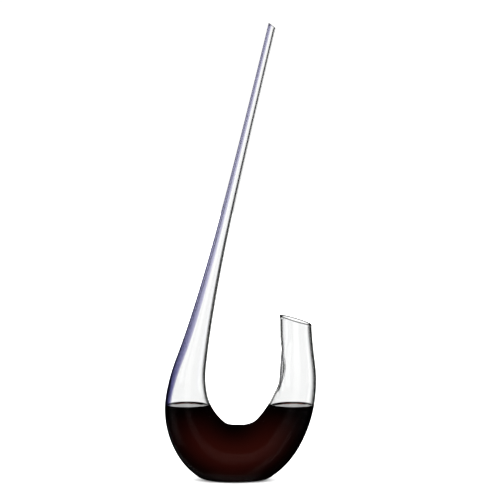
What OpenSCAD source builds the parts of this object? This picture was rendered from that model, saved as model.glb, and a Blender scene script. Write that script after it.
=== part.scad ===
// Wine decanter, blown from one long bubble of clear glass and bent into a U.
// The fat bend is the bowl. One end is drawn out into a slender pouring neck, and
// the other is cut short as a wide filling arm. A stripe of violet glass is melted
// into the outer side of the neck, and the bowl holds one bottle of red wine.
//
// Lengths are in millimetres and angles in degrees. +Z is up and the base stands
// on z = 0. The U lies in the XZ plane, the neck towards -X and the arm towards +X.

/* [Heights] */
// Height of the whole decanter, to the highest point of the pouring lip
decanter_h = 600; // [500:5:720]
// Height of the middle of the filling mouth
mouth_h = 212; // [190:2:260]
// Height of the wine's surface with one bottle poured in
wine_h = 98; // [85:1:110]

/* [Bowl] */
// Outer radius of the tube at the lowest point of the bend
bowl_r = 41.7; // [37:0.1:43]
// Height of the tube's axis over the table at that point
bowl_axis_h = 31.2; // [29:0.1:36]
// How far that point lies from the middle of the decanter, towards the neck
bowl_shift = 7.74; // [0:0.01:15]
// Thickness of the glass under the wine
base_t = 3; // [3:0.5:8]
// Half the height over which the flat base rounds into the bowl
base_round = 4; // [1:0.5:5]
// Height of the axis where the bowl passes into the shoulder, and the stripe runs out
shoulder_h = 80; // [66:1:84]
// Height of the axis where the bowl passes into the filling arm
arm_h = 92; // [80:1:100]

/* [Neck] */
// Bend radius of the axis where the bowl turns up towards the neck
heel_bend_r = 54; // [46:1:66]
// Angle turned by that bend
heel_bend = 50; // [40:1:60]
// Bend radius of the axis from there until the tube stands upright
flank_bend_r = 92; // [75:1:120]
// Bend radius of the axis from upright to the neck's full lean
shoulder_bend_r = 182; // [120:1:260]
// Lean of the neck over the bowl
neck_lean = 13.5; // [8:0.5:18]
// Outer radius where the tube stands upright
upright_r = 27.9; // [23:0.1:32]
// Outer radius at the pouring lip
spout_r = 5.2; // [4.4:0.1:8]
// Length over which the neck's widening grows by a factor of e
neck_flare = 124; // [90:1:150]
// Slant of the pouring lip from a square cut, low on the pouring side
spout_cut = 24.5; // [0:0.5:35]
// Height at which the slender part of the neck begins
slender_h = 262; // [220:2:320]

/* [Filling arm] */
// Bend radius of the axis where the bowl turns up towards the mouth
toe_bend_r = 68.5; // [58:0.5:80]
// Angle turned by that bend
toe_bend = 54; // [45:1:62]
// Bend radius of the axis from there up the arm
arm_bend_r = 143; // [110:1:190]
// Lean of the mouth back over the bowl
mouth_lean = 2.5; // [0:0.5:6]
// Outer radius where the first bend ends
toe_r = 33.8; // [30:0.1:37]
// Outer radius at the mouth
mouth_r = 21; // [18:0.1:26]
// Slant of the mouth's rim from a square cut, low on the outer side
mouth_cut = 19; // [0:0.5:28]

/* [Finger dent] */
// Height of the deepest point of the dent in the arm's inner side
dent_h = 146; // [138:1:155]
// Length of the dent along the arm
dent_len = 84; // [60:1:90]
// How far the glass is pressed in
dent_d = 11.5; // [0:0.5:12]
// How far the arm swells beside the dent, so that its lips stay on the outline
dent_swell = 6; // [0:0.5:7]
// Half the angle round the arm that the dent takes up
dent_half = 45; // [35:1:55]

/* [Glass] */
// Wall thickness of the bowl and the filling arm
body_wall = 2.8; // [2:0.1:3.5]
// Wall thickness at the pouring lip
spout_wall = 1.8; // [1.3:0.1:2.2]
// Outer radius of the neck down from which the wall thins towards the pouring lip
thinning_r = 9; // [9:0.1:18]

/* [Violet stripe] */
// Thickness of the stripe along its middle, where the neck has drawn it out
stripe_t = 0.4; // [0.3:0.1:1.1]
// Thickness that it nears towards its lower end
stripe_tail_t = 1.9; // [0.4:0.1:1.9]
// Half the angle round the neck that the stripe covers
stripe_half = 80; // [60:1:86]
// Half the angle that it still covers at its lower end
stripe_tail_half = 26; // [20:1:40]
// Length over which the stripe narrows and thickens towards its lower end
stripe_taper = 70; // [40:1:110]

/* [Hidden] */

NECK = -1;
MOUTH = 1;
CELLS = 32;           // facets round the tube
STRIPE_CELLS = 14;    // facets that lie under the stripe
BEND_STEP = 9;        // distance between rings along the bowl and the arm
SHOULDER_STEP = 6;    // the same along the shoulder
NECK_STEP = 20;       // the same up the neck
SPOUT_RUN = 25;       // length over which the rings turn to the pouring lip's slant
MOUTH_RUN = 60;       // the same for the filling mouth
STRIPE_RUNOUT = 10;   // length over which the stripe's lower end rises from nothing
TUBE_COLOUR = [0.90, 0.94, 0.94, 0.35];

NECK_BENDS = [
    [heel_bend_r, heel_bend],
    [flank_bend_r, 90 - heel_bend],
    [shoulder_bend_r, neck_lean]
];
MOUTH_BENDS = [
    [toe_bend_r, toe_bend],
    [arm_bend_r, 90 - toe_bend + mouth_lean]
];

// ---- The tube's axis -------------------------------------------------------

// Place and heading [x, z, angle] after a distance along a chain of bends, each
// [radius, angle], that starts level and runs straight on after the last bend
function walk(bends, dist, x = 0, z = 0, a = 0, i = 0) =
    i == len(bends) ? [x + dist * cos(a), z + dist * sin(a), a]
    : let (
        r = bends[i][0],
        turn = min(dist / r * 180 / PI, bends[i][1]),
        b = a + turn,
        x1 = x + r * (sin(b) - sin(a)),
        z1 = z + r * (cos(a) - cos(b)),
        left = dist - turn * r * PI / 180
    )
    turn < bends[i][1] ? [x1, z1, b] : walk(bends, left, x1, z1, b, i + 1);

// Length of the first n bends
function run(bends, n) =
    n == 0 ? 0 : run(bends, n - 1) + bends[n - 1][0] * bends[n - 1][1] * PI / 180;

// A station s is a distance along the axis from its lowest point, negative
// towards the neck and positive towards the mouth
function bends_of(side) = side == NECK ? NECK_BENDS : MOUTH_BENDS;
function side_of(s) = s < 0 ? NECK : MOUTH;
function axis_at(s) = walk(bends_of(side_of(s)), abs(s));
function axis_x(s) = side_of(s) * axis_at(s)[0] - bowl_shift;
function axis_z(s) = axis_at(s)[1] + bowl_axis_h;
function heading(s) = axis_at(s)[2];

// Station at which the axis reaches a height, found by halving the search
function station(side, h, low = 0, high = 1000, tries = 40) =
    let (mid = (low + high) / 2)
    tries == 0 ? side * mid
    : axis_z(side * mid) < h ? station(side, h, mid, high, tries - 1)
    : station(side, h, low, mid, tries - 1);

upright_s = run(NECK_BENDS, 2);
toe_s = run(MOUTH_BENDS, 1);
// How far the pouring lip's high side stands over the end of the axis
spout_rise = spout_r * (sin(neck_lean) + tan(spout_cut) * cos(neck_lean));
spout_s = station(NECK, decanter_h - spout_rise);
slender_s = station(NECK, slender_h);
shoulder_s = station(NECK, shoulder_h);
arm_s = station(MOUTH, arm_h);
dent_s = station(MOUTH, dent_h);
mouth_s = station(MOUTH, mouth_h);

// ---- Radius and wall -------------------------------------------------------

function ease(t) = t * t * (3 - 2 * t);
function clamp01(t) = min(max(t, 0), 1);
// Cubic from value a and slope da to value b and slope db over a length
function cubic(dist, length, a, da, b, db) =
    let (t = dist / length)
    a + (b - a) * ease(t) + length * t * (1 - t) * (da * (1 - t) - db * t);

// Widening of a drawn neck at a distance from its lip
function widening(dist) = exp(dist / neck_flare) - 1;
upright_to_lip = -spout_s - upright_s;
widening_scale = (upright_r - spout_r) / widening(upright_to_lip);
upright_slope = -widening_scale * exp(upright_to_lip / neck_flare) / neck_flare;

bowl_slope = (toe_r - bowl_r) / toe_s;
arm_slope = (mouth_r - toe_r) / (mouth_s - toe_s);
toe_slope = (bowl_slope * (mouth_s - toe_s) + arm_slope * toe_s) / mouth_s;

function neck_radius(dist) =
    dist > upright_s ? spout_r + widening_scale * widening(-spout_s - dist)
    : cubic(dist, upright_s, bowl_r, 0, upright_r, upright_slope);
function arm_radius(dist) =
    dist < toe_s ? cubic(dist, toe_s, bowl_r, 0, toe_r, toe_slope)
    : cubic(dist - toe_s, mouth_s - toe_s, toe_r, toe_slope, mouth_r, 0);
function radius(s) = s < 0 ? neck_radius(-s) : arm_radius(s);

// The wall keeps its thickness down to a certain radius, then thins with the neck
function wall(s) =
    spout_wall + (body_wall - spout_wall) * clamp01((radius(s) - spout_r) / (thinning_r - spout_r));

// ---- Rings round the tube --------------------------------------------------

// Cells are counted from the outer side of the U, cell 0, both ways round to
// half of CELLS on the inner side. The stripe's edges always lie on a cell.
HALF = CELLS / 2;
STRIPE_HALF = STRIPE_CELLS / 2;
EVEN_HALF_ANGLE = 180 * STRIPE_HALF / HALF;

// Distance above the stripe's lower end, or below it when negative
function over_tail(s) = shoulder_s - s;
function stripe_angle(s) =
    over_tail(s) >= 0
    ? stripe_half - (stripe_half - stripe_tail_half) * exp(-over_tail(s) / stripe_taper)
    : stripe_tail_half
      + (EVEN_HALF_ANGLE - stripe_tail_half) * ease(clamp01(over_tail(s) / shoulder_s));

// Angle round the tube of a cell's edge, 0 on the inner side of the U
function cell_angle(s, cell) =
    let (w = stripe_angle(s), past = abs(cell) - STRIPE_HALF)
    180 + (past <= 0 ? cell / STRIPE_HALF * w
    : sign(cell) * (w + past / (HALF - STRIPE_HALF) * (180 - w)));

// Thickness of the stripe, feathered to nothing at its edges and its lower end
function stripe_depth(s, cell) =
    over_tail(s) <= 0 || abs(cell) >= STRIPE_HALF ? 0
    : (stripe_t + (stripe_tail_t - stripe_t) * exp(-over_tail(s) / stripe_taper))
      * (1 - pow(cell / STRIPE_HALF, 4))
      * (1 - exp(-over_tail(s) / STRIPE_RUNOUT));

// How strongly the dent acts along the arm, from 0 to 1
function dent_along(s) = let (t = (s - dent_s) / (dent_len / 2)) abs(t) < 1 ? pow(1 - t * t, 2) : 0;

// Point [towards the inner side, sideways] of the section, at a depth under the skin
function section(s, cell, depth) =
    let (
        a = cell_angle(s, cell),
        from_inner = abs(a > 180 ? a - 360 : a),
        r = radius(s) - depth,
        swell = from_inner < 90 ? dent_swell * dent_along(s) : 0,
        press = from_inner < dent_half
            ? dent_d * dent_along(s) * pow(cos(90 * from_inner / dent_half), 2) : 0
    )
    [(r + swell) * cos(a) - press, r * sin(a)];

// Slope of a ring against the axis: square, but turning to the cut of a lip over
// the last stretch before it
function lip_turn(s, end, length) = ease(clamp01((abs(s) - abs(end)) / length + 1));
function ring_slope(s) =
    s < 0 ? -tan(spout_cut) * lip_turn(s, spout_s, SPOUT_RUN)
    : tan(mouth_cut) * lip_turn(s, mouth_s, MOUTH_RUN);

// The bowl is flat where it would sink below a floor, with a rounded edge
function rest(z, floor_z) =
    z >= floor_z + base_round ? z
    : z <= floor_z - base_round ? floor_z
    : floor_z + pow(z - floor_z + base_round, 2) / (4 * base_round);

function place(s, p, floor_z) =
    let (side = side_of(s), a = heading(s), k = ring_slope(s))
    [
        axis_x(s) + side * p[0] * (k * cos(a) - sin(a)),
        p[1],
        rest(axis_z(s) + p[0] * (cos(a) + k * sin(a)), floor_z)
    ];

function outer_ring(s) =
    [for (cell = [-HALF : HALF - 1]) place(s, section(s, cell, 0), 0)];
function bare_ring(s) =
    [for (cell = [-HALF : HALF - 1])
        place(s, section(s, cell, stripe_depth(s, cell)), 0)];
function inner_ring(s) =
    [for (cell = [-HALF : HALF - 1]) place(s, section(s, cell, wall(s)), base_t)];

// ---- Stations of the rings -------------------------------------------------

// Even steps from one station to the next, the last left out
function steps(from, to, step) =
    let (n = ceil((to - from) / step))
    [for (i = [0 : n - 1]) from + (to - from) * i / n];

NECK_STATIONS = concat(steps(spout_s, slender_s, NECK_STEP), [slender_s]);
SHOULDER_STATIONS = concat(steps(slender_s, shoulder_s, SHOULDER_STEP), [shoulder_s]);
BOWL_STATIONS = concat(steps(shoulder_s, 0, BEND_STEP), steps(0, arm_s, BEND_STEP), [arm_s]);
ARM_STATIONS = concat(steps(arm_s, mouth_s, BEND_STEP), [mouth_s]);

// ---- Solids ----------------------------------------------------------------

// Two triangles from four corners in a loop, split along a to c
function quad(a, b, c, d) = [[a, b, c], [a, c, d]];
function quad_back(a, b, c, d) = [[a, c, b], [a, d, c]];

// A length of glass tube between the first and the last station
module tube(stations) {
    n = len(stations);
    points = concat(
        [for (s = stations) each bare_ring(s)],
        [for (s = stations) each inner_ring(s)]
    );
    in0 = n * CELLS;
    last = (n - 1) * CELLS;
    skins = [
        for (i = [0 : n - 2], j = [0 : CELLS - 1])
            let (a = i * CELLS + j, b = i * CELLS + (j + 1) % CELLS)
            each concat(
                quad(a, b, b + CELLS, a + CELLS),
                quad_back(in0 + a, in0 + b, in0 + b + CELLS, in0 + a + CELLS)
            )
    ];
    ends = [
        for (j = [0 : CELLS - 1])
            let (k = (j + 1) % CELLS)
            each concat(
                quad_back(j, k, in0 + k, in0 + j),
                quad(last + j, last + k, in0 + last + k, in0 + last + j)
            )
    ];
    polyhedron(points, concat(skins, ends), convexity = 8);
}

module bowl() {
    color(TUBE_COLOUR)
        tube(BOWL_STATIONS);
}

module shoulder() {
    color(TUBE_COLOUR)
        tube(SHOULDER_STATIONS);
}

module pouring_neck() {
    color(TUBE_COLOUR)
        tube(NECK_STATIONS);
}

module filling_arm() {
    color(TUBE_COLOUR)
        tube(ARM_STATIONS);
}

// The stripe fills the hollow left for it in the outer skin. Its two faces share
// their points along both edges and at its lower end.
module violet_stripe() {
    stations = concat(
        steps(spout_s, slender_s, NECK_STEP),
        steps(slender_s, shoulder_s, SHOULDER_STEP)
    );
    n = len(stations);
    first = HALF - STRIPE_HALF;
    loop = 2 * STRIPE_CELLS;
    points = concat(
        [for (s = stations) let (skin = outer_ring(s), bed = bare_ring(s)) each concat(
            [for (j = [0 : STRIPE_CELLS]) skin[first + j]],
            [for (j = [1 : STRIPE_CELLS - 1]) bed[first + j]]
        )],
        let (skin = outer_ring(shoulder_s)) [for (j = [0 : STRIPE_CELLS]) skin[first + j]]
    );
    function top(i, j) = i * loop + j;
    function under(i, j) =
        i == n || j == 0 || j == STRIPE_CELLS ? top(i, j) : i * loop + STRIPE_CELLS + j;
    skins = [
        for (i = [0 : n - 1], j = [0 : STRIPE_CELLS - 1])
            let (
                face = quad(top(i, j), top(i, j + 1), top(i + 1, j + 1), top(i + 1, j)),
                back = quad_back(under(i, j), under(i, j + 1), under(i + 1, j + 1), under(i + 1, j)),
                // one corner cell at the lower end closes along its diagonal
                corner = i == n - 1 && j == 0
            )
            each corner ? [face[0], back[0]] : concat(face, back)
    ];
    lip = [concat(
        [for (j = [STRIPE_CELLS : -1 : 0]) top(0, j)],
        [for (j = [1 : STRIPE_CELLS - 1]) under(0, j)]
    )];
    color([0.42, 0.40, 0.62, 0.8])
        polyhedron(points, concat(skins, lip), convexity = 8);
}

// The wine fills the tube's inside up to a level surface in both arms
module wine() {
    stations = [
        for (s = concat(SHOULDER_STATIONS, BOWL_STATIONS, ARM_STATIONS))
            if (axis_z(s) < wine_h + upright_r) s
    ];
    rings = [
        for (i = [0 : len(stations) - 1])
            if (i == 0 || stations[i] > stations[i - 1]) inner_ring(stations[i])
    ];
    n = len(rings);
    skin = [
        for (i = [0 : n - 2], j = [0 : CELLS - 1])
            let (a = i * CELLS + j, b = i * CELLS + (j + 1) % CELLS)
            each quad(a, b, b + CELLS, a + CELLS)
    ];
    ends = [
        [for (j = [CELLS - 1 : -1 : 0]) j],
        [for (j = [0 : CELLS - 1]) (n - 1) * CELLS + j]
    ];
    color([0.18, 0.02, 0.03])
        intersection() {
            polyhedron([for (ring = rings) each ring], concat(skin, ends), convexity = 4);
            translate([-decanter_h / 2, -decanter_h / 2, 0])
                cube([decanter_h, decanter_h, wine_h]);
        }
}

bowl();
shoulder();
pouring_neck();
filling_arm();
violet_stripe();
wine();
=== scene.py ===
import math

import bmesh
import bpy
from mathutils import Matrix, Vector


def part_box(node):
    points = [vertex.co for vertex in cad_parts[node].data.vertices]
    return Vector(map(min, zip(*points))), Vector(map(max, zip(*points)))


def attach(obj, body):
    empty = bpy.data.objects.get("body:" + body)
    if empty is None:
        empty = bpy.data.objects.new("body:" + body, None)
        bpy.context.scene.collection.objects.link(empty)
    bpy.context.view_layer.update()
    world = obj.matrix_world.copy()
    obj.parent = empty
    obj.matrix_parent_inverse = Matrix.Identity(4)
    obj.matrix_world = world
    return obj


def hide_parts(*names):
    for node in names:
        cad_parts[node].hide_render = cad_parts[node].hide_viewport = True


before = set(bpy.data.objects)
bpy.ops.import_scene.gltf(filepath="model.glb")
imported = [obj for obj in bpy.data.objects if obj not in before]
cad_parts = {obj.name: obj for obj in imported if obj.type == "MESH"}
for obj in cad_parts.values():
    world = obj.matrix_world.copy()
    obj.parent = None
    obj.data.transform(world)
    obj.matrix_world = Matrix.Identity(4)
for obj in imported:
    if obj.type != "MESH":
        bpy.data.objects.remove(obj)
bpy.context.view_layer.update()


# ---- Clear glass: the blown body -------------------------------------------
# One long bubble of clear lead-free crystal, blown by mouth, drawn out at one end
# into the pouring neck and bent into a U while soft. The bend was set down on a
# flat slab, which left the base flat. Both ends were cut slanting and fire-polished.
MM = 0.001
DECANTER_H = max(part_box("pouring_neck")[1].z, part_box("violet_stripe")[1].z)
BOWL_R = 41.7 * MM           # outer radius of the tube at the lowest point of the bend
BOWL_AXIS_H = 31.2 * MM      # height of the tube's axis there
BOWL_SHIFT = 7.74 * MM       # how far that point lies from the middle, towards the neck
BASE_T = 3 * MM              # glass under the wine
BASE_ROUND = 4 * MM          # rounding between the flat base and the bowl
NECK_BENDS = ((54 * MM, 50), (92 * MM, 40), (182 * MM, 13.5))   # radius and angle turned
ARM_BENDS = ((68.5 * MM, 54), (143 * MM, 38.5))
NECK_LEAN = 13.5
UPRIGHT_R = 27.9 * MM        # outer radius where the neck side stands upright
SPOUT_R = 5.2 * MM           # outer radius at the pouring lip
NECK_FLARE = 124 * MM        # length in which the neck's widening grows by a factor of e
SPOUT_CUT = 24.5             # slant of the pouring lip from a square cut
SPOUT_TURN = 25 * MM         # length in which the rings turn to that slant
TOE_R = 33.8 * MM            # outer radius where the arm's first bend ends
MOUTH_R = 21 * MM            # outer radius at the filling mouth
MOUTH_H = 212 * MM           # height of the middle of the filling mouth
MOUTH_CUT = 19               # slant of its rim from a square cut
MOUTH_TURN = 60 * MM         # length in which the rings turn to that slant
BODY_WALL = 2.8 * MM
SPOUT_WALL = 1.8 * MM
THINNING_R = 9 * MM          # outer radius of the neck down from which the wall thins
DENT_H = 146 * MM            # height of the finger dent's deepest point
DENT_LEN = 84 * MM
DENT_D = 11.5 * MM           # how far the dent is pressed in
DENT_SWELL = 6 * MM          # how far the glass swells beside it
DENT_HALF = math.radians(45)
ROUND = 128                  # points round the tube
RING_STEP = 2.5 * MM         # distance between rings along the tube
LIP_RINGS = 8
FACET_GAP = 0.1 * MM         # keeps the smooth skin inside the facets of the CAD shape


def walk(bends, dist):
    """Place and heading after a distance along bends that start level and end straight."""
    x = z = a = 0.0
    for radius, angle in bends:
        turn = min(dist / radius, math.radians(angle))
        b = a + turn
        x += radius * (math.sin(b) - math.sin(a))
        z += radius * (math.cos(a) - math.cos(b))
        a = b
        dist -= turn * radius
    return x + dist * math.cos(a), z + dist * math.sin(a), a


def run(bends, n):
    """Length along the first n bends."""
    return sum(radius * math.radians(angle) for radius, angle in bends[:n])


def axis(s):
    """Station s counts along the axis from its lowest point, below 0 on the neck side."""
    x, z, a = walk(NECK_BENDS if s < 0 else ARM_BENDS, abs(s))
    return (-x if s < 0 else x) - BOWL_SHIFT, z + BOWL_AXIS_H, a


def station(side, height):
    """The station on one side, -1 or 1, where the axis reaches a height."""
    below, above = 0.0, 1.0
    for _ in range(50):
        middle = (below + above) / 2
        if axis(side * middle)[1] < height:
            below = middle
        else:
            above = middle
    return side * below


def ease(t):
    t = min(max(t, 0.0), 1.0)
    return t * t * (3 - 2 * t)


def cubic(dist, length, a, slope_a, b, slope_b):
    """Goes from a to b over a length, with a slope given at each end."""
    t = dist / length
    return a + (b - a) * ease(t) + length * t * (1 - t) * (slope_a * (1 - t) - slope_b * t)


lean = math.radians(NECK_LEAN)
spout_rise = SPOUT_R * (math.sin(lean) + math.tan(math.radians(SPOUT_CUT)) * math.cos(lean))
spout_s = station(-1, DECANTER_H - spout_rise)
mouth_s = station(1, MOUTH_H)
dent_s = station(1, DENT_H)
upright_s = run(NECK_BENDS, 2)
toe_s = run(ARM_BENDS, 1)
widening = (UPRIGHT_R - SPOUT_R) / math.expm1((-spout_s - upright_s) / NECK_FLARE)
upright_slope = -widening * math.exp((-spout_s - upright_s) / NECK_FLARE) / NECK_FLARE
bowl_slope = (TOE_R - BOWL_R) / toe_s
arm_slope = (MOUTH_R - TOE_R) / (mouth_s - toe_s)
toe_slope = (bowl_slope * (mouth_s - toe_s) + arm_slope * toe_s) / mouth_s


def radius_at(s):
    if -s > upright_s:
        return SPOUT_R + widening * math.expm1((s - spout_s) / NECK_FLARE)
    if s < 0:
        return cubic(-s, upright_s, BOWL_R, 0, UPRIGHT_R, upright_slope)
    if s < toe_s:
        return cubic(s, toe_s, BOWL_R, 0, TOE_R, toe_slope)
    return cubic(min(s, mouth_s) - toe_s, mouth_s - toe_s, TOE_R, toe_slope, MOUTH_R, 0)


def wall_at(s):
    share = (radius_at(s) - SPOUT_R) / (THINNING_R - SPOUT_R)
    return SPOUT_WALL + (BODY_WALL - SPOUT_WALL) * min(max(share, 0.0), 1.0)


def slant_at(s):
    """Slope of a ring against the axis, which turns to the cut of a lip near it."""
    if s < 0:
        return -math.tan(math.radians(SPOUT_CUT)) * ease((spout_s - s) / SPOUT_TURN + 1)
    return math.tan(math.radians(MOUTH_CUT)) * ease((s - mouth_s) / MOUTH_TURN + 1)


def rest_on(z, floor):
    """A height that may not sink below a floor, with a rounded edge."""
    if z >= floor + BASE_ROUND:
        return z
    if z <= floor - BASE_ROUND:
        return floor
    return floor + (z - floor + BASE_ROUND) ** 2 / (4 * BASE_ROUND)


def skin_point(s, turn, depth, floor):
    """A point of the tube at station s, turned from the U's inner side, at a depth."""
    x, z, a = axis(s)
    side = -1 if s < 0 else 1
    from_inner = abs(math.remainder(turn, math.tau))
    along = max(1 - ((s - dent_s) / (DENT_LEN / 2)) ** 2, 0.0) ** 2 if s > 0 else 0.0
    r = radius_at(s) - FACET_GAP - depth
    inward = r * math.cos(turn)
    if from_inner < math.pi / 2:
        inward += DENT_SWELL * along * math.cos(turn)
    if from_inner < DENT_HALF:
        inward -= DENT_D * along * math.cos(math.pi / 2 * from_inner / DENT_HALF) ** 2
    k = slant_at(s)
    return (
        x + side * inward * (k * math.cos(a) - math.sin(a)),
        r * math.sin(turn),
        rest_on(z + inward * (math.cos(a) + k * math.sin(a)), floor),
    )


def ring(s, depth, floor):
    """Points round the tube, which rest on a floor at the base."""
    return [skin_point(s, math.tau * i / ROUND, depth, floor) for i in range(ROUND)]


def even(start, end, step):
    """Numbers from start to end, evenly spaced and at most a step apart."""
    n = max(1, math.ceil(abs(end - start) / step))
    return [start + (end - start) * i / n for i in range(n + 1)]


def lip(end, wall, inward):
    """Rings of the rounded lip at one end, from the outer skin to the inner one."""
    out = 1 if end > 0 else -1
    for i in range(1, LIP_RINGS):
        t = math.pi * (i / LIP_RINGS if inward else 1 - i / LIP_RINGS)
        s = end - out * wall / 2 * (1 - math.sin(t))
        yield ring(s, wall / 2 * (1 - math.cos(t)), 0 if t < math.pi / 2 else BASE_T)


def mesh_object(name, points, faces):
    mesh = bpy.data.meshes.new(name)
    mesh.from_pydata(points, [], faces)
    mesh.validate()
    mesh.shade_smooth()
    made = bpy.data.objects.new(name, mesh)
    bpy.context.collection.objects.link(made)
    return made


def skin_over(name, rings, closed):
    """A mesh over rings of equal count, joined end to end when closed."""
    n, m = len(rings), len(rings[0])
    faces = [
        (i * m + j, (i + 1) % n * m + j, (i + 1) % n * m + (j + 1) % m, i * m + (j + 1) % m)
        for i in range(n if closed else n - 1) for j in range(m)
    ]
    return mesh_object(name, [p for r in rings for p in r], faces)


spout_wall, mouth_wall = wall_at(spout_s), wall_at(mouth_s)
outer_stations = even(spout_s + spout_wall / 2, mouth_s - mouth_wall / 2, RING_STEP)
rings = [ring(s, 0, 0) for s in outer_stations]
rings += lip(mouth_s, mouth_wall, True)
rings += [ring(s, wall_at(s), BASE_T) for s in reversed(outer_stations)]
rings += lip(spout_s, spout_wall, False)
body = skin_over("clear_glass_body", rings, True)


def srgb(text):
    """Linear colour from an sRGB hex value."""
    parts = [int(text[i:i + 2], 16) / 255 for i in (1, 3, 5)]
    return [p / 12.92 if p <= 0.04045 else ((p + 0.055) / 1.055) ** 2.4 for p in parts] + [1]


def material(name):
    made = bpy.data.materials.new(name)
    made.use_nodes = True
    made.node_tree.nodes.clear()
    return made


def node(tree, kind, settings=None, **links):
    """Adds a node. Settings are its attributes, and links set its inputs by name."""
    made = tree.nodes.new(kind)
    for key, value in (settings or {}).items():
        setattr(made, key, value)
    for key, value in links.items():
        socket = made.inputs[int(key[1:])] if key[1:].isdigit() else made.inputs[key.replace("_", " ")]
        if isinstance(value, bpy.types.NodeSocket):
            tree.links.new(value, socket)
        else:
            socket.default_value = value
    return made


# Lead-free crystal, fire-polished: IOR 1.52, no roughness, a trace of green where
# the light runs far through it, and the slow waves that blowing leaves in it. Where
# wine wets it, light only bends by the ratio of the two.
GLASS_IOR = 1.52
WINE_IOR = 1.344
GLASS_WAVE = 34 * MM         # distance between the waves
WAVE_D = 1.2 * MM            # how high they stand
WAVE_STRENGTH = 0.12
GLASS_DENSITY = 9            # per metre, how fast the tint builds up


def crystal(name, ior):
    made = material(name)
    tree = made.node_tree
    place = node(tree, "ShaderNodeTexCoord").outputs["Object"]
    waves = node(tree, "ShaderNodeTexNoise", Vector=place, Scale=1 / GLASS_WAVE, Detail=1.0)
    bump = node(
        tree, "ShaderNodeBump", Height=waves.outputs["Fac"], Strength=WAVE_STRENGTH, Distance=WAVE_D,
    )
    clear = node(
        tree, "ShaderNodeBsdfPrincipled", Base_Color=srgb("#FFFFFF"), Roughness=0.0, IOR=ior,
        Transmission_Weight=1.0, Normal=bump.outputs["Normal"],
    )
    lamps = node(tree, "ShaderNodeBsdfTransparent", Color=srgb("#FAFCFB"))
    path = node(tree, "ShaderNodeLightPath")
    both = node(
        tree, "ShaderNodeMixShader", _0=path.outputs["Is Shadow Ray"],
        _1=clear.outputs[0], _2=lamps.outputs[0],
    )
    tint = node(tree, "ShaderNodeVolumeAbsorption", Color=srgb("#C9DDD2"), Density=GLASS_DENSITY)
    node(tree, "ShaderNodeOutputMaterial", Surface=both.outputs[0], Volume=tint.outputs[0])
    return made


# The inner skin is wetted up to where the wine creeps up it.
WINE_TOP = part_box("wine")[1].z
MENISCUS_H = 1.8 * MM        # how far the wine creeps up the glass
TOUCH = 1e-7                 # points closer than this count as one
body.data.materials.append(crystal("crystal_fire_polished", GLASS_IOR))
body.data.materials.append(crystal("crystal_wetted_by_wine", GLASS_IOR / WINE_IOR))
mesh = bmesh.new()
mesh.from_mesh(body.data)
mesh.verts.ensure_lookup_table()
inner_start = (len(outer_stations) + LIP_RINGS - 1) * ROUND
inner_end = inner_start + len(outer_stations) * ROUND
inner_verts = mesh.verts[inner_start:inner_end]
inner = set(inner_verts)
inner_faces = [f for f in mesh.faces if all(v in inner for v in f.verts)]
inner_edges = list(dict.fromkeys(e for f in inner_faces for e in f.edges))
cut = bmesh.ops.bisect_plane(
    mesh, geom=inner_faces + inner_edges + inner_verts, dist=TOUCH,
    plane_co=(0, 0, WINE_TOP + MENISCUS_H), plane_no=(0, 0, 1),
)
inner |= {g for g in cut["geom_cut"] if isinstance(g, bmesh.types.BMVert)}
for face in mesh.faces:
    if all(v in inner for v in face.verts):
        face.material_index = int(face.calc_center_median().z < WINE_TOP + MENISCUS_H)
mesh.to_mesh(body.data)
mesh.free()
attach(body, "root")
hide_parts("bowl", "shoulder", "pouring_neck", "filling_arm")


# ---- Violet glass: the stripe in the neck ------------------------------------
# A flat cane of violet crystal, laid on the hot bubble and marvered flush into its
# outer side. It stretched with the neck, and thins out to a point over the bowl.
STRIPE_T = 0.4 * MM
STRIPE_TAIL_T = 1.9 * MM     # the thickness that it nears towards its lower end
STRIPE_HALF = 84             # half the angle round the neck that it covers
STRIPE_TAIL_HALF = 26        # the same at its lower end
STRIPE_TAPER = 70 * MM       # length in which its thickness falls by a factor of e
STRIPE_SPREAD = 100 * MM     # the same for what its width lacks
STRIPE_COLUMNS = 48
STRIPE_UNDER = 0.06 * MM     # clear skin that melted over it
STRIPE_END_H = 80 * MM       # height of its lower end
STRIPE_RUNOUT = 10 * MM      # length in which it gets its thickness from there
stripe_end_s = station(-1, STRIPE_END_H)


def stripe_ring(s):
    """Points round the cane: its outer face, then its inner one back again."""
    over_tail = stripe_end_s - s
    narrowing = (STRIPE_HALF - STRIPE_TAIL_HALF) * math.exp(-over_tail / STRIPE_SPREAD)
    half = math.radians(STRIPE_HALF - narrowing)
    thick = STRIPE_T + (STRIPE_TAIL_T - STRIPE_T) * math.exp(-over_tail / STRIPE_TAPER)
    thick *= 1 - math.exp(-over_tail / STRIPE_RUNOUT)
    loop = []
    for i in range(2 * STRIPE_COLUMNS):
        t = 2 * i / STRIPE_COLUMNS - 1 if i <= STRIPE_COLUMNS else 3 - 2 * i / STRIPE_COLUMNS
        depth = STRIPE_UNDER
        if i > STRIPE_COLUMNS:
            depth += thick * (1 - t ** 6)
        loop.append(skin_point(s, math.pi + t * half, depth, 0))
    return loop


# It stops just inside the rounded lip, and its ends are closed.
stripe_stations = even(spout_s + spout_wall * 0.6, stripe_end_s - 1 * MM, RING_STEP * 2)
stripe = skin_over("violet_stripe_cane", [stripe_ring(s) for s in stripe_stations], False)
mesh = bmesh.new()
mesh.from_mesh(stripe.data)
bmesh.ops.holes_fill(mesh, edges=[e for e in mesh.edges if e.is_boundary])
bmesh.ops.recalc_face_normals(mesh, faces=mesh.faces)
mesh.to_mesh(stripe.data)
mesh.free()

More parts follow.
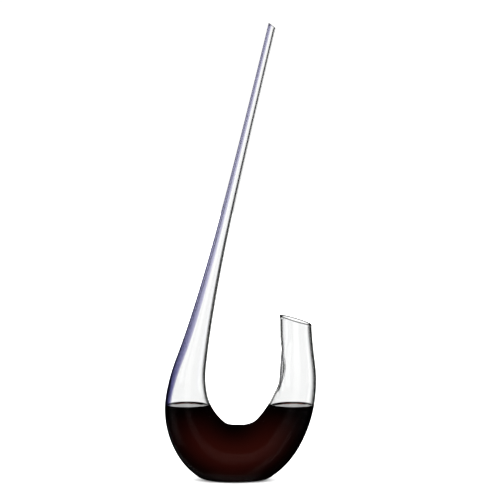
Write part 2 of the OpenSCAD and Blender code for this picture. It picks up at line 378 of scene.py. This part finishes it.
# Violet crystal: the same glass as the body, so its faces neither bend nor mirror
# light inside it. Its colour deepens with the way that the light takes through it,
# and drawing it out left fine pale streaks along it.
STREAK_W = 2 * MM
STREAK_LEN = 90 * MM
CANE_DENSITY = 1080          # per metre
violet = material("violet_crystal_cane")
tree = violet.node_tree
place = node(tree, "ShaderNodeTexCoord").outputs["Object"]
drawn = node(
    tree, "ShaderNodeMapping", Vector=place, Scale=(1 / STREAK_W, 1 / STREAK_W, 1 / STREAK_LEN),
)
streaks = node(tree, "ShaderNodeTexNoise", Vector=drawn.outputs["Vector"], Scale=1.0, Detail=2.0)
shade = node(
    tree, "ShaderNodeMix", {"data_type": "RGBA"}, Factor=streaks.outputs["Fac"],
    _6=srgb("#F4F3FA"), _7=srgb("#FFFFFF"),
)
cane = node(
    tree, "ShaderNodeBsdfPrincipled", Base_Color=shade.outputs[2], Roughness=0.0, IOR=1.0,
    Transmission_Weight=1.0,
)
depth_colour = node(tree, "ShaderNodeVolumeAbsorption", Color=srgb("#7C79BC"), Density=CANE_DENSITY)
node(tree, "ShaderNodeOutputMaterial", Surface=cane.outputs[0], Volume=depth_colour.outputs[0])
stripe.data.materials.append(violet)
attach(stripe, "root")
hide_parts("violet_stripe")


# ---- Red wine: one bottle -----------------------------------------------------
# Young red wine, poured in through the arm, so that it stands at one level on both
# sides of the bend. It wets the glass and creeps up it a little in a meniscus.
WETTING = 0.05 * MM          # how far its mesh reaches into the glass, so no air shows
MENISCUS_REACH = 1.7 * MM    # distance in which the meniscus falls by a factor of e
MENISCUS_STEPS = (0.3, 0.7, 1.2, 1.9, 2.8, 4.2, 6.5)   # its rings, in mm from the glass
WINE_RISE = 40 * MM          # how far its rings go past the surface, to be cut there

wine_ends = [station(side, WINE_TOP + WINE_RISE) for side in (-1, 1)]
wine_rings = [ring(s, wall_at(s) - WETTING, BASE_T - WETTING) for s in even(*wine_ends, RING_STEP)]
wine = skin_over("red_wine", wine_rings, False)
mesh = bmesh.new()
mesh.from_mesh(wine.data)
bmesh.ops.bisect_plane(
    mesh, geom=mesh.verts[:] + mesh.edges[:] + mesh.faces[:], dist=TOUCH,
    plane_co=(0, 0, WINE_TOP + MENISCUS_H), plane_no=(0, 0, 1), clear_outer=True,
)


def edge_loops(edges):
    """The closed loops of vertices that some edges form."""
    rest = dict.fromkeys(edges)
    while rest:
        first = rest.popitem()[0]
        loop = [first.verts[0], first.verts[1]]
        while True:
            step = next((e for e in loop[-1].link_edges if e in rest), None)
            if step is None:
                break
            del rest[step]
            loop.append(step.other_vert(loop[-1]))
        yield loop[:-1] if loop[0] is loop[-1] else loop


# Each open end is closed by the meniscus, which dips from the glass to the level.
for loop in list(edge_loops([e for e in mesh.edges if e.is_boundary])):
    middle_x = (min(v.co.x for v in loop) + max(v.co.x for v in loop)) / 2
    before = loop
    for step in MENISCUS_STEPS:
        drop = math.exp(-step * MM / MENISCUS_REACH)
        now = []
        for v in loop:
            away = math.hypot(v.co.x - middle_x, v.co.y)
            keep = 1 - step * MM / away
            now.append(mesh.verts.new((
                middle_x + (v.co.x - middle_x) * keep, v.co.y * keep,
                WINE_TOP + MENISCUS_H * drop,
            )))
        for i in range(len(loop)):
            j = (i + 1) % len(loop)
            mesh.faces.new((before[i], before[j], now[j], now[i])).material_index = 1
        before = now
    mesh.faces.new(before).material_index = 1
bmesh.ops.recalc_face_normals(mesh, faces=mesh.faces)
mesh.to_mesh(wine.data)
mesh.free()
wine.data.shade_smooth()

# Red wine: clear liquid, IOR 1.344, that swallows green and blue at once and red
# after a centimetre or two. A painted glow, dark red emission set by position, lights
# the thick middle of the bowl and fades towards the glass and up to the open surface.
# That surface bends light itself, and the glass against the wine does so elsewhere.
# Where the painted glow lies in the bowl, and how strong it is there:
BEND_R = 60 * MM             # mean radius of the bowl's bend
GLOW_REACH = 100 * MM        # distance from the middle of the bend that the ramp covers
GLOW_ACROSS = (              # distances from the middle of the bend, and the glow there
    (20 * MM, 0.0), (27 * MM, 0.2), (38 * MM, 0.75), (48 * MM, 1.0), (57 * MM, 1.0),
    (66 * MM, 0.8), (75 * MM, 0.42), (83 * MM, 0.13), (92 * MM, 0.0),
)
GLOW_FULL_H = 38 * MM        # height up to which the glow is full
GLOW_END_H = WINE_TOP + 4 * MM
CLOUD = 26 * MM              # size of the faint clouds in it
WINE_DENSITY = 520           # per metre


def red_wine(name, ior):
    made = material(name)
    tree = made.node_tree
    place = node(tree, "ShaderNodeTexCoord").outputs["Object"]
    clouds = node(tree, "ShaderNodeTexNoise", Vector=place, Scale=1 / CLOUD, Detail=2.0)
    haze = node(
        tree, "ShaderNodeMix", {"data_type": "RGBA"}, Factor=clouds.outputs["Fac"],
        _6=srgb("#F6EEEE"), _7=srgb("#FFFFFF"),
    )
    bend = node(
        tree, "ShaderNodeMapping", Vector=place, Scale=(1, 0, 1),
        Location=(BOWL_SHIFT, 0, -BOWL_AXIS_H - BEND_R),
    )
    reach = node(tree, "ShaderNodeVectorMath", {"operation": "LENGTH"}, Vector=bend.outputs[0])
    scaled = node(
        tree, "ShaderNodeMath", {"operation": "DIVIDE"}, _0=reach.outputs["Value"], _1=GLOW_REACH,
    )
    across = node(tree, "ShaderNodeValToRGB", Fac=scaled.outputs[0])
    ramp = across.color_ramp
    ramp.interpolation = "B_SPLINE"
    while len(ramp.elements) < len(GLOW_ACROSS):
        ramp.elements.new(1.0)
    for stop, (dist, share) in zip(ramp.elements, GLOW_ACROSS):
        stop.position = dist / GLOW_REACH
        stop.color = (share, share, share, 1)
    height = node(tree, "ShaderNodeSeparateXYZ", Vector=place)
    deep = node(
        tree, "ShaderNodeMapRange", {"interpolation_type": "SMOOTHSTEP"}, Value=height.outputs[2],
        _1=GLOW_FULL_H, _2=GLOW_END_H, _3=1.0, _4=0.0,
    )
    painted_glow_mask = node(
        tree, "ShaderNodeMath", {"operation": "MULTIPLY"}, _0=across.outputs[0], _1=deep.outputs[0],
    )
    # Painted glow: dark red emission laid on by position, strongest in the thick middle of the bowl,
    # though no lamp is inside the wine.
    painted_glow_colour = node(
        tree, "ShaderNodeMix", {"data_type": "RGBA"}, Factor=painted_glow_mask.outputs[0],
        _6=srgb("#000000"), _7=srgb("#2D0B07"),
    )
    liquid = node(
        tree, "ShaderNodeBsdfPrincipled", Base_Color=haze.outputs[2], Roughness=0.0, IOR=ior,
        Transmission_Weight=1.0, Emission_Color=painted_glow_colour.outputs[2], Emission_Strength=1.0,
    )
    colour = node(tree, "ShaderNodeVolumeAbsorption", Color=srgb("#DB8438"), Density=WINE_DENSITY)
    node(tree, "ShaderNodeOutputMaterial", Surface=liquid.outputs[0], Volume=colour.outputs[0])
    return made


wine.data.materials.append(red_wine("red_wine_against_glass", 1.0))
wine.data.materials.append(red_wine("red_wine_open_surface", WINE_IOR))
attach(wine, "root")
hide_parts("wine")


# ---- The studio ---------------------------------------------------------------
# A plain pale floor under soft light. Glass shows by what it bends into view, so
# bright cards stand straight behind each view and the rest of the room is dark.
FLOOR_R = 4.0
FLOOR_GAP = 0.2 * MM         # keeps the floor from touching the base
PAPER_GRAIN = 0.8 * MM
PAPER_TOOTH = 0.05 * MM      # how high its grain stands
floor_mesh = bmesh.new()
bmesh.ops.create_circle(floor_mesh, cap_ends=True, segments=96, radius=FLOOR_R)
floor_data = bpy.data.meshes.new("floor")
floor_mesh.to_mesh(floor_data)
floor_mesh.free()
floor = bpy.data.objects.new("floor", floor_data)
bpy.context.collection.objects.link(floor)
floor.location.z = -FLOOR_GAP
floor.visible_transmission = False
floor.visible_glossy = False

paper = material("matt_white_paper")
tree = paper.node_tree
place = node(tree, "ShaderNodeTexCoord").outputs["Object"]
grain = node(tree, "ShaderNodeTexNoise", Vector=place, Scale=1 / PAPER_GRAIN, Detail=3.0)
paper_bump = node(
    tree, "ShaderNodeBump", Height=grain.outputs["Fac"], Strength=0.05, Distance=PAPER_TOOTH,
)
sheet = node(
    tree, "ShaderNodeBsdfPrincipled", Base_Color=srgb("#F7F7F7"), Roughness=0.9,
    Normal=paper_bump.outputs["Normal"],
)
node(tree, "ShaderNodeOutputMaterial", Surface=sheet.outputs[0])
floor_data.materials.append(paper)

world = bpy.data.worlds.new("studio")
bpy.context.scene.world = world
world.use_nodes = True
tree = world.node_tree
tree.nodes.clear()
direction = node(tree, "ShaderNodeTexCoord").outputs["Generated"]
parts = node(tree, "ShaderNodeSeparateXYZ", Vector=direction)
turned = node(
    tree, "ShaderNodeMath", {"operation": "ARCTAN2"}, _0=parts.outputs[0], _1=parts.outputs[1],
)
raised = node(tree, "ShaderNodeMath", {"operation": "ARCSINE"}, _0=parts.outputs[2])
azimuth = node(tree, "ShaderNodeMath", {"operation": "DEGREES"}, _0=turned.outputs[0]).outputs[0]
elevation = node(tree, "ShaderNodeMath", {"operation": "DEGREES"}, _0=raised.outputs[0]).outputs[0]

# Each card in degrees: its middle, counted to the right from straight behind, how far
# on the next one like it stands, where its left, right, lower and upper sides start to
# fade, the widths of those four fades, and then how bright it is.
CARDS = (
    (0, 180, (-13, 8, -12, 12), (18, 14, 10, 8), 1.1),
    (0, 180, (-8, 8, -22, -14), (26, 14, 10, 4), 0.35),
    (-90, 360, (-8, 8, -22, 2), (26, 14, 10, 12), 1.15),
    (90, 360, (-7, 8, -22, 2), (4, 14, 10, 12), 1.15),
    (-45, 180, (-8, 10, -60, -14), (8, 4, 10, 4), 1.15),
    (-56, 360, (-14, 14, 5, 14), (5, 5, 3, 4), 1.1),
    (0, 360, (-180, 180, -90, -70), (1, 1, 1, 8), 1.2),
)
bright = 0.0
for middle, apart, sides, fades, strength in CARDS:
    away = node(tree, "ShaderNodeMath", {"operation": "SUBTRACT"}, _0=azimuth, _1=middle)
    off = node(
        tree, "ShaderNodeMath", {"operation": "WRAP"}, _0=away.outputs[0], _1=apart / 2, _2=-apart / 2,
    )
    share = strength
    for i in range(4):
        end = sides[i] + (fades[i] if i % 2 else -fades[i])
        edge = node(
            tree, "ShaderNodeMapRange", {"interpolation_type": "SMOOTHSTEP"},
            Value=off.outputs[0] if i < 2 else elevation, _1=sides[i], _2=end, _3=1.0, _4=0.0,
        )
        faded = node(tree, "ShaderNodeMath", {"operation": "MULTIPLY"}, _0=edge.outputs[0], _1=share)
        share = faded.outputs[0]
    bright = node(tree, "ShaderNodeMath", {"operation": "MAXIMUM"}, _0=share, _1=bright).outputs[0]

# Rays from the camera meet white, and those through the glass or off it the cards.
# What is left are the rays that light the floor.
WHITE = 1.05
FLOOR_LIGHT = 3.0
MIRRORED = 0.017             # share of the cards that shows in reflections
ROOM = 0.006                 # light of the dark room between the cards
ROOM_MIRRORED = 0.003
seen = node(tree, "ShaderNodeLightPath").outputs
off_glass = node(
    tree, "ShaderNodeMath", {"operation": "MULTIPLY"}, _0=seen["Is Glossy Ray"],
    _1=seen["Is Reflection Ray"],
)
through = node(tree, "ShaderNodeMath", {"operation": "ADD"}, _0=bright, _1=ROOM)
gleam = node(
    tree, "ShaderNodeMath", {"operation": "MULTIPLY_ADD"}, _0=bright, _1=MIRRORED, _2=ROOM_MIRRORED,
)
light, others = 0.0, 1.0
for ray, strength in (
    (seen["Is Camera Ray"], WHITE),
    (seen["Is Transmission Ray"], through.outputs[0]),
    (off_glass.outputs[0], gleam.outputs[0]),
):
    lit = node(tree, "ShaderNodeMath", {"operation": "MULTIPLY_ADD"}, _0=ray, _1=strength, _2=light)
    rest = node(
        tree, "ShaderNodeMath", {"operation": "SUBTRACT", "use_clamp": True}, _0=others, _1=ray,
    )
    light, others = lit.outputs[0], rest.outputs[0]
lit = node(tree, "ShaderNodeMath", {"operation": "MULTIPLY_ADD"}, _0=others, _1=FLOOR_LIGHT, _2=light)
sky = node(tree, "ShaderNodeBackground", Color=srgb("#FFFFFF"), Strength=lit.outputs[0])
node(tree, "ShaderNodeOutputWorld", Surface=sky.outputs[0])

# A wide soft box overhead, which the glass doesn't mirror.
box_light = bpy.data.lights.new("soft_box", "AREA")
box_light.shape = "DISK"
box_light.size = 2.4          # metres across
box_light.energy = 40         # watts
soft_box = bpy.data.objects.new("soft_box", box_light)
bpy.context.collection.objects.link(soft_box)
soft_box.location = (0, 0, 2.6)
soft_box.visible_glossy = False
soft_box.visible_transmission = False

# The camera looks a little down on the decanter from well back.
CAMERA_DIST = 4.8
CAMERA_TILT = math.radians(5.6)
VIEW_HEIGHT = 0.6535         # height of the view at the decanter
SENSOR = 36
aim_x, aim_z = 0.0124, 0.3033
lens = bpy.data.cameras.new("camera")
lens.sensor_width = SENSOR
lens.lens = SENSOR * CAMERA_DIST / VIEW_HEIGHT
camera = bpy.data.objects.new("camera", lens)
bpy.context.collection.objects.link(camera)
camera.location = (
    aim_x,
    -CAMERA_DIST * math.cos(CAMERA_TILT),
    aim_z + CAMERA_DIST * math.sin(CAMERA_TILT),
)
camera.rotation_euler = (math.pi / 2 - CAMERA_TILT, 0, 0)
bpy.context.scene.camera = camera
bpy.context.scene.view_settings.view_transform = "Standard"
